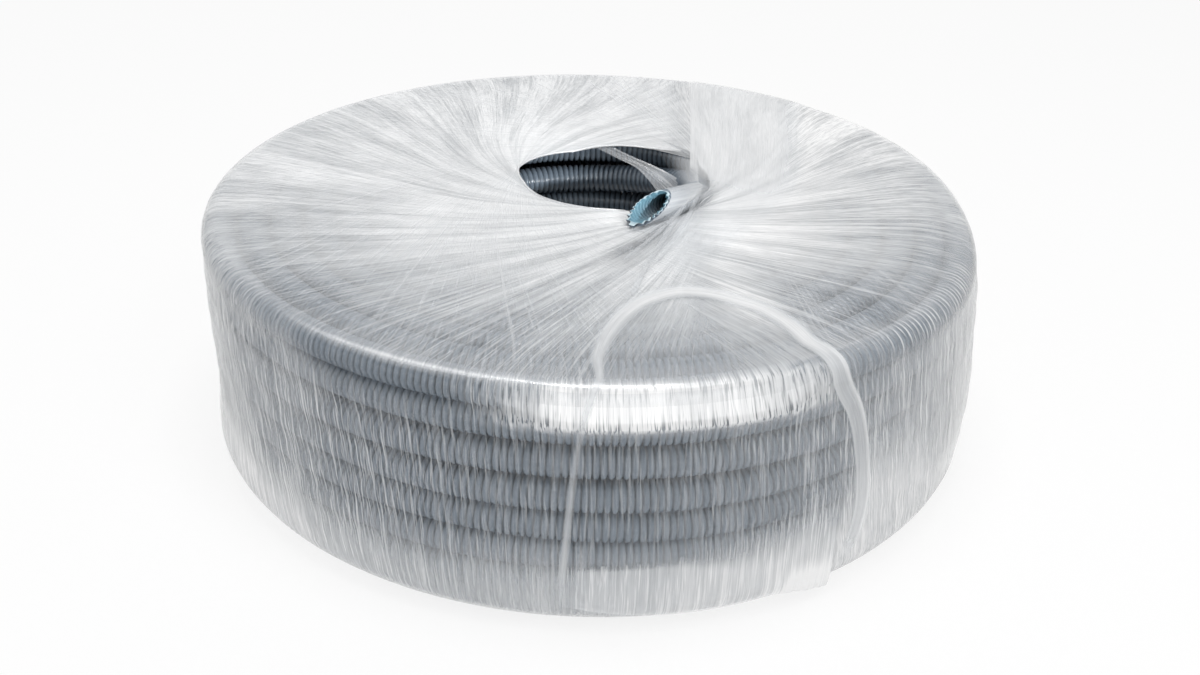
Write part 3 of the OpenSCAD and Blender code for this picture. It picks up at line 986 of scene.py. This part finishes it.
def sheetPiece(name, grid, start, marks, flip=False):  # open sheet, pull lines along its columns
    rows, columns = grid.shape[:2]
    down = np.cumsum(np.linalg.norm(np.diff(grid, axis=0), axis=2), 0)
    down = np.concatenate([np.zeros((1, columns)), down])
    wide = np.cumsum(np.linalg.norm(np.diff(grid, axis=1), axis=2), 1)
    wide = np.concatenate([np.zeros((rows, 1)), wide], 1)
    across = np.broadcast_to(wide.max(0), wide.shape)
    coords = np.stack([across + start, np.full_like(across, start), down], -1).reshape(-1, 3)
    fields = {key: np.broadcast_to(value, (rows, columns)).ravel() for key, value in marks.items()}
    faces = gridFaces(rows, columns, False, flip)
    return meshPiece(name, grid.reshape(-1, 3), faces, film, {"filmCoord": coords, **fields})


# In the dictionaries of the sheets, pairs named fade, run, across or down are shares of the sheet

band = {
    "left": [
        (58.7, 184), (56.0, 118), (53.4, 61), (51.3, 20), (50.0, 3.0), (48.0, -9.0), (45.5, -20.0),
        (42.0, -29.0), (36.5, -40.0), (30.5, -52.0), (24.0, -71.0), (17.0, -95.0)],
    "right": [
        (128, 148), (124, 100), (118, 50), (110, 10), (104, -6), (98, -18), (92, -28), (86, -38), (78, -52),
        (68, -68), (56, -86), (42, -108)],
    "rows": 110, "columns": 44, "lift": 0.75,
    "wallLift": 0.95, "wallRows": 14, "cornerTilts": (18, 36, 54, 72, 90),
    "drape": 1.6,  # how sharply it bends down beside the free end
    "pleatDepth": 0.35, "pleatWave": 46, "pleatDrift": 1.3, "driftWave": 17, "pleatRun": (0.35, 0.8),
    "cover": 0.62, "rightFade": (0.72, 1.0), "footFade": (0.0, 0.05),
    "frontFade": (0.84, 1.0), "frontLoss": 0.95,
    "edgeFade": (0.0, 0.12), "edgeRun": (0.55, 0.62),  # its left edge gets lost by the free end
    "thinRun": (0.52, 0.68), "thinLoss": 0.6,
    "behindRun": (0.5, 0.62),  # up to the free end it has a few lines and strands and more grain
    "lines": 0.05, "strands": 0.08, "grain": 0.3, "grainBehind": 0.15,
    "start": 900.0,
}


def filmBand(name):
    b, w = band, wrap
    plan = spanned(b["left"], b["right"], b["rows"], b["columns"])
    u, v = shares(b["rows"], b["columns"])
    base = w["height"] + b["lift"]
    rise = overTube(plan[..., 0], plan[..., 1]) - base
    z = base + np.log1p(np.exp(np.clip(rise, -30, 30) * b["drape"])) / b["drape"]
    folds = np.sin(u * b["pleatWave"] + b["pleatDrift"] * np.sin(u * b["driftWave"]))
    z = z + b["pleatDepth"] * folds * smooth(*b["pleatRun"], v)
    top = np.concatenate([plan, z[..., None]], 2)
    az = np.arctan2(plan[0, :, 1], plan[0, :, 0])
    shoulder, c = w["height"] - w["corner"], w["corner"] + b["wallLift"]
    heights = np.linspace(w["lowCorner"], shoulder, b["wallRows"])
    down = [polar(w["radius"] + b["wallLift"], az, height) for height in heights]
    for tilt in np.radians(b["cornerTilts"]):
        r = w["radius"] - w["corner"] + c * math.cos(tilt)
        down.append(polar(r, az, shoulder + c * math.sin(tilt)))
    grid = np.concatenate([np.array(down), top[1:]])
    u, v = shares(*grid.shape[:2])
    haze = b["cover"] * (1 - smooth(*b["rightFade"], u)) * (1 - b["frontLoss"] * smooth(*b["frontFade"], v))
    haze = haze * smooth(*b["footFade"], v)
    haze = haze * (1 - smooth(*b["edgeRun"], v) * (1 - smooth(*b["edgeFade"], u)))
    haze = haze * (1 - b["thinLoss"] * smooth(*b["thinRun"], v))
    haze = haze * (1 - fold["bandLoss"] * besideFreeEnd(grid[..., 0], grid[..., 1]))
    behind = 1 - smooth(*b["behindRun"], v)
    marks = {"haze": haze, "lines": b["lines"] * behind, "strands": b["strands"] * behind,
             "grain": b["grain"] + b["grainBehind"] * behind}
    return sheetPiece(name, grid, b["start"], marks, flip=True)


tail = {
    "azimuth": (-93.0, -55.4),
    "upper": [(-93, 38), (-82, 40), (-72, 45), (-64, 56), (-57, 66), (-55.4, 69)],
    "lower": [(-93, 16), (-84, 9.0), (-74, 4.5), (-68, 5.5), (-64, 8.0), (-60, 6.5), (-55.4, 3.6)],
    "loose": (-66.0, -58.0), "looseShare": 0.75,  # it clings to the lower corner, but for its loose right end
    "flutter": [(0.35, 2.1, 0.0), (0.25, 5.3, 1.0)],  # waves of the loose end: depth, number, shift
    "rows": 26, "columns": 110, "lift": 1.0,
    "cover": 0.62, "leftFade": (0.0, 0.1), "leftShare": 0.76, "moreRun": (0.2, 0.6), "more": 0.5,
    "topFade": 0.14, "topFadeMore": 0.5, "topFadeRun": (0.3, 0.8),  # fades in from above, slower at the right
    "rightFade": (0.8, 1.0), "rightLoss": 0.3,
    "doubled": 0.4, "doubledAcross": (0.74, 0.86), "doubledDown": (0.6, 0.85),  # its lower right corner
    "marks": {"lines": 0.45, "strands": 0.1, "grain": 0.8}, "start": 1300.0,
}


def filmTail(name):
    f, c = tail, wrap["lowCorner"]
    az = np.linspace(*f["azimuth"], f["columns"])
    upper, lower = (np.interp(az, *np.array(f[k], float).T) for k in ("upper", "lower"))
    u, v = shares(f["rows"], f["columns"])
    z = upper + (lower - upper) * v
    tight = 1 - f["looseShare"] * smooth(*f["loose"], az)
    tuck = np.where(z < c, c - np.sqrt(np.maximum(c * c - (c - z) ** 2, 0)), 0) * tight
    flutter = sum(depth * np.sin(az * wave + shift) for depth, wave, shift in f["flutter"]) * v * (1 - tight)
    grid = polar(wrap["radius"] + f["lift"] - tuck + flutter, np.radians(az), z)
    haze = f["cover"] * smooth(0, f["topFade"] + f["topFadeMore"] * smooth(*f["topFadeRun"], u), v + 0 * u)
    haze = haze * smooth(*f["leftFade"], u) * (f["leftShare"] + f["more"] * smooth(*f["moreRun"], u))
    haze = haze * (1 - f["rightLoss"] * smooth(*f["rightFade"], u))
    haze = haze + f["doubled"] * smooth(*f["doubledAcross"], u) * smooth(*f["doubledDown"], v)
    return sheetPiece(name, grid, f["start"], {"haze": haze, **f["marks"]})


def filmEdge(name):  # the rolled edge: a soft white band up the wall, round an arch on the top and down again
    e, w = rolledEdge, wrap
    points, normals = [], []

    def keep(az, r, z, tilt):
        a = math.radians(az)
        points.append((r * math.cos(a), r * math.sin(a), z))
        normals.append((math.cos(a) * math.cos(tilt), math.sin(a) * math.cos(tilt), math.sin(tilt)))

    def keepLeg(leg, flat):
        for az, z in leg:
            keep(az, float(wallRadius(z, flat, e["lift"])), z, 0.0)

    def keepCorner(rings, fromAz, toAz, flat):
        for k, i in enumerate(rings):
            az = fromAz + (toAz - fromAz) * (k + 1) / (w["cornerRows"] + 1)
            keep(az, *cornerRow(i, flat, e["lift"]), cornerTilt(i))

    ends = [math.degrees(math.atan2(e["crown"][k][1], e["crown"][k][0])) for k in (0, -1)]
    keepLeg(e["leftLeg"], 1.0)
    keepCorner(range(w["cornerRows"] - 1, -1, -1), e["leftLeg"][-1][0], ends[0], 1.0)
    for x, y in e["crown"]:
        points.append((x, y, w["height"] + e["lift"]))
        normals.append(straightUp)
    keepCorner(range(0, w["cornerRows"], 2), ends[1], e["rightLeg"][0][0], 0.0)
    keepLeg(e["rightLeg"], 0.0)
    line = flowing(np.hstack([points, normals]), e["rows"])
    path, up = line[:, :3], line[:, 3:]
    across = np.cross(np.gradient(path, axis=0), up)
    across /= np.linalg.norm(across, axis=1)[:, None]
    t = np.linspace(0, 1, e["rows"])[:, None]
    share, wide, milky = np.array(e["run"]).T
    u = np.linspace(-1, 1, e["columns"])
    grid = path[:, None] + across[:, None] * (np.interp(t, share, wide) / 2 * u)[..., None]
    leg = smooth(*e["leg"], t)
    edges = sum(strength * hill(u, at, e["legEdgeWidth"]) for at, strength in e["legEdges"])
    soft = (1 - u**2) * (1 - leg) + leg * (e["legMiddle"] * (1 - u**4) + edges)
    haze = np.interp(t, share, milky) * soft * within(t, *e["fadeIn"], *e["fadeOut"])
    return sheetPiece(name, grid, e["start"], {"haze": haze, **e["marks"]}, flip=True)


eyeStrip = {  # both edges of the strip that crosses the eye, from the far lip down behind the free end
    "left": [
        (0.4, 70.3, 129.4), (11.3, 64.0, 126.5), (23.4, 57.0, 123.0), (28.8, 51.2, 120.0),
        (33.3, 44.5, 117.0), (42, 30, 110)],
    "right": [
        (7.3, 74.5, 129.6), (20.5, 66.5, 126.5), (35.9, 59.5, 122.5), (47.2, 55.0, 118.0), (58, 46, 111)],
    "rows": 50, "columns": 22,
    "pleatDepth": 0.35, "pleatWave": 13, "pleatGrowth": (0.4, 1),  # deeper on the way down
    "cover": 0.34, "coverGrowth": (0.6, 1.15),
    "marks": {"lines": 0.3, "strands": 0.2, "grain": 0.7}, "start": 1700.0,
}


def filmEyeStrip(name):
    s = eyeStrip
    grid = spanned(s["left"], s["right"], s["rows"], s["columns"])
    u = shares(s["rows"], s["columns"])[0]
    growth, thicker = (np.linspace(*s[k], s["rows"])[:, None] for k in ("pleatGrowth", "coverGrowth"))
    grid[..., 2] += s["pleatDepth"] * np.sin(u * s["pleatWave"]) * growth
    return sheetPiece(name, grid, s["start"], {"haze": s["cover"] * thicker, **s["marks"]})


veil = {  # thin film in the right corner of the eye, clear towards the left
    "back": [(36.0, 68.0, 128.6), (58.0, 60.0, 129.2)],  # left and right corner
    "front": [(45.0, 33.0, 126.0), (56.0, 6.0, 129.0)],
    "rows": 14, "columns": 14, "cover": 0.55, "frontFade": (0.7, 1), "frontLoss": 0.4,
    "marks": {"lines": 0.0, "strands": 0.0, "grain": 0.3}, "start": 2100.0,
}


def filmVeil(name):
    u, v = shares(veil["rows"], veil["columns"])
    back, front = (np.array(veil[k]) for k in ("back", "front"))
    t, down = u[..., None], v[..., None]
    grid = (back[0] * (1 - t) + back[1] * t) * (1 - down) + (front[0] * (1 - t) + front[1] * t) * down
    haze = veil["cover"] * smooth(0, 1, u) * (1 - veil["frontLoss"] * smooth(*veil["frontFade"], v))
    return sheetPiece(name, grid, veil["start"], {"haze": haze, **veil["marks"]}, flip=True)


sleeve = {  # film that clings to the near side of the free end, up to its cut
    "angles": (-30.0, 172.0), "gap": 0.45, "rimGap": 0.2, "length": 60.0,
    "foot": 13.0, "footLift": 0.5, "leastLift": 0.45,  # where it meets the top beside the tube
    "rows": 30, "columns": 24, "flare": 5,
    "cover": 0.44, "farFade": (0, 0.12), "backFade": (0.82, 1),
    "lowFade": (0.66, 0.84), "lowLoss": 0.25, "footFade": (0.92, 1), "footLoss": 0.5,
    "moreRun": (0.3, 0.7), "more": 0.3,
    "marks": {"lines": 0.0, "strands": 0.1, "grain": 0.5}, "start": 2500.0,
}


def filmSleeve(name):
    s = sleeve
    radius = tubeRadius + s["gap"]
    slope = math.tan(math.radians(freeEnd["cut"]))
    columns = []
    for angle in np.radians(np.linspace(*s["angles"], s["columns"])):
        rim = -radius * math.cos(angle) / slope - s["rimGap"]
        x = np.linspace(rim, -s["length"], s["rows"])[:, None]
        columns.append(mouth + outward * x + (upward * math.cos(angle) + side * math.sin(angle)) * radius)
    edge, foot = columns[-1], mouth + outward * x + side * s["foot"]
    foot[:, 2] = wrap["height"] + s["footLift"]
    columns += [edge + (foot - edge) * t for t in np.linspace(0, 1, s["flare"] + 1)[1:]]
    grid = np.stack(columns, 1)
    grid[..., 2] = np.maximum(grid[..., 2], wrap["height"] + s["leastLift"])
    u, v = shares(*grid.shape[:2])
    lost = s["lowLoss"] * smooth(*s["lowFade"], u) + s["footLoss"] * smooth(*s["footFade"], u)
    haze = s["cover"] * smooth(*s["farFade"], u) * (1 - lost)
    haze = haze * (1 - smooth(*s["backFade"], v)) * (1 + s["more"] * smooth(*s["moreRun"], v))
    return sheetPiece(name, grid, s["start"], {"haze": haze, **s["marks"]})


roll = {  # shape of every flattened roll of film
    "around": 10, "endRun": 6.0, "endLeast": 0.12,  # its ends are rounded off over this length
    "twist": 0.15, "twistWave": 3, "twistRate": 0.4,
    "start": 2000, "apart": 37.0,  # so that each has a place of its own in the pattern
}


def stripPiece(name, lines):  # flattened rolls: (points, normals, widths, thickness, cover) each
    m = roll["around"]
    ring = np.linspace(0, 2 * math.pi, m, endpoint=False)
    points, faces, coords, haze = [], [], [], []
    for k, (path, up, width, thick, milky) in enumerate(lines):
        n = len(path)
        way = np.gradient(path, axis=0)
        way /= np.linalg.norm(way, axis=1)[:, None]
        up = up - way * np.sum(up * way, 1)[:, None]
        up /= np.linalg.norm(up, axis=1)[:, None]
        run = np.concatenate([[0], np.cumsum(np.linalg.norm(np.diff(path, axis=0), axis=1))])[:, None]
        width, thick, milky = (np.broadcast_to(q, n)[:, None] for q in (width, thick, milky))
        ends = np.clip(np.minimum(run, run[-1] - run) / roll["endRun"], roll["endLeast"], 1) ** 0.5
        flat = np.cos(ring) * width * ends / 2
        twist = roll["twist"] * np.sin(roll["twistWave"] * ring + run * roll["twistRate"])
        high = (np.sin(ring) + twist) * thick * ends / 2
        offset = np.cross(way, up)[:, None] * flat[..., None] + up[:, None] * high[..., None]
        start = sum(len(p) for p in points)
        points.append((path[:, None] + offset).reshape(-1, 3))
        across = np.cos(ring) * width / 2
        pattern = [across + roll["apart"] * k, np.sin(ring) + 0 * across, run + roll["start"] + 0 * across]
        coords.append(np.stack(pattern, -1).reshape(-1, 3))
        haze.append(np.repeat(milky, m))
        faces += gridFaces(n, m, True, start=start)
        faces.append(tuple(range(start, start + m))[::-1])
        faces.append(tuple(range(start + (n - 1) * m, start + n * m)))
    haze = np.concatenate(haze)
    fields = {"filmCoord": np.concatenate(coords), "haze": haze, "grain": np.ones(len(haze))}
    return meshPiece(name, np.concatenate(points), faces, film, fields)


lipRoll = {  # the film's edge round the eye
    "azimuth": (56, 280), "points": 220, "out": 0.5, "lift": 0.3, "width": 1.4, "thick": 1.0, "cover": 0.5,
}


def lipLines():
    p = lipRoll
    az = np.linspace(*p["azimuth"], p["points"])
    path = polar(lipRadius(az) + p["out"], np.radians(az), wrap["height"] + p["lift"]) + (*eye, 0.0)
    return [(path, straightUp, p["width"], p["thick"], p["cover"])]


pleats = {  # white folds that run from the free end to the front: plan points of each
    "lines": [
        [(51.4, 3.3), (42.7, -25.7), (34.5, -57.2), (25.9, -86.7), (18.7, -118.0)],
        [(57.8, 16.1), (53.5, -5.0), (48.0, -29.0), (40.0, -55.0), (32.0, -80.0)],
        [(45.0, -18.0), (36.0, -39.0), (27.0, -58.0), (15.0, -80.0)]],
    "height": 130.6, "points": 60, "width": (3.0, 2.4, 2.4), "thick": 0.4, "cover": 0.16,
}


def pleatLines():
    made = []
    for line, width in zip(pleats["lines"], pleats["width"]):
        path = flowing([(x, y, pleats["height"]) for x, y in line], pleats["points"])
        made.append((path, straightUp, width, pleats["thick"], pleats["cover"]))
    return made


boreStrands = {  # film gathered through the bore
    "angles": (190, 225, 260), "points": 60,
    "below": 0.3, "above": 0.8,  # from under the top film to over the bottom film
    "out": 0.8, "bow": 4.0, "sway": 6.0,
    "width": 20.0, "waist": 0.6, "thick": 1.5, "cover": 0.7,
}


def strandLines():
    b = boreStrands
    made = []
    for k, angle in enumerate(b["angles"]):
        z = np.linspace(wrap["height"] - b["below"], b["above"], b["points"])
        t = (z - z.min()) / (z.max() - z.min())
        middle = np.sin(math.pi * t)
        a = math.radians(angle) + np.radians(b["sway"]) * np.sin(2 * math.pi * t + k)
        path = polar(wrap["bottomLip"] + b["out"] - b["bow"] * middle, a, z) + (*eye, 0.0)
        width = b["width"] * (1 - (1 - b["waist"]) * middle)
        made.append((path, polar(1.0, a, 0.0), width, b["thick"], b["cover"]))
    return made


loose = [
    filmBand("film_band"), filmTail("film_tail"), filmEyeStrip("film_eye_strip"), filmVeil("film_veil"),
    filmSleeve("film_sleeve"), filmEdge("film_rolled_edge"), stripPiece("film_lip_roll", lipLines()),
    stripPiece("film_pleats", pleatLines()), stripPiece("film_bore_strands", strandLines()),
]
for piece in loose:
    dress(piece, "stretch_film")
print("loose film laid")

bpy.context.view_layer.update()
shown = [o for o in bpy.data.objects if o.type == "MESH" and not o.hide_render]
print("triangles:", sum(len(p.vertices) - 2 for o in shown for p in o.data.polygons))
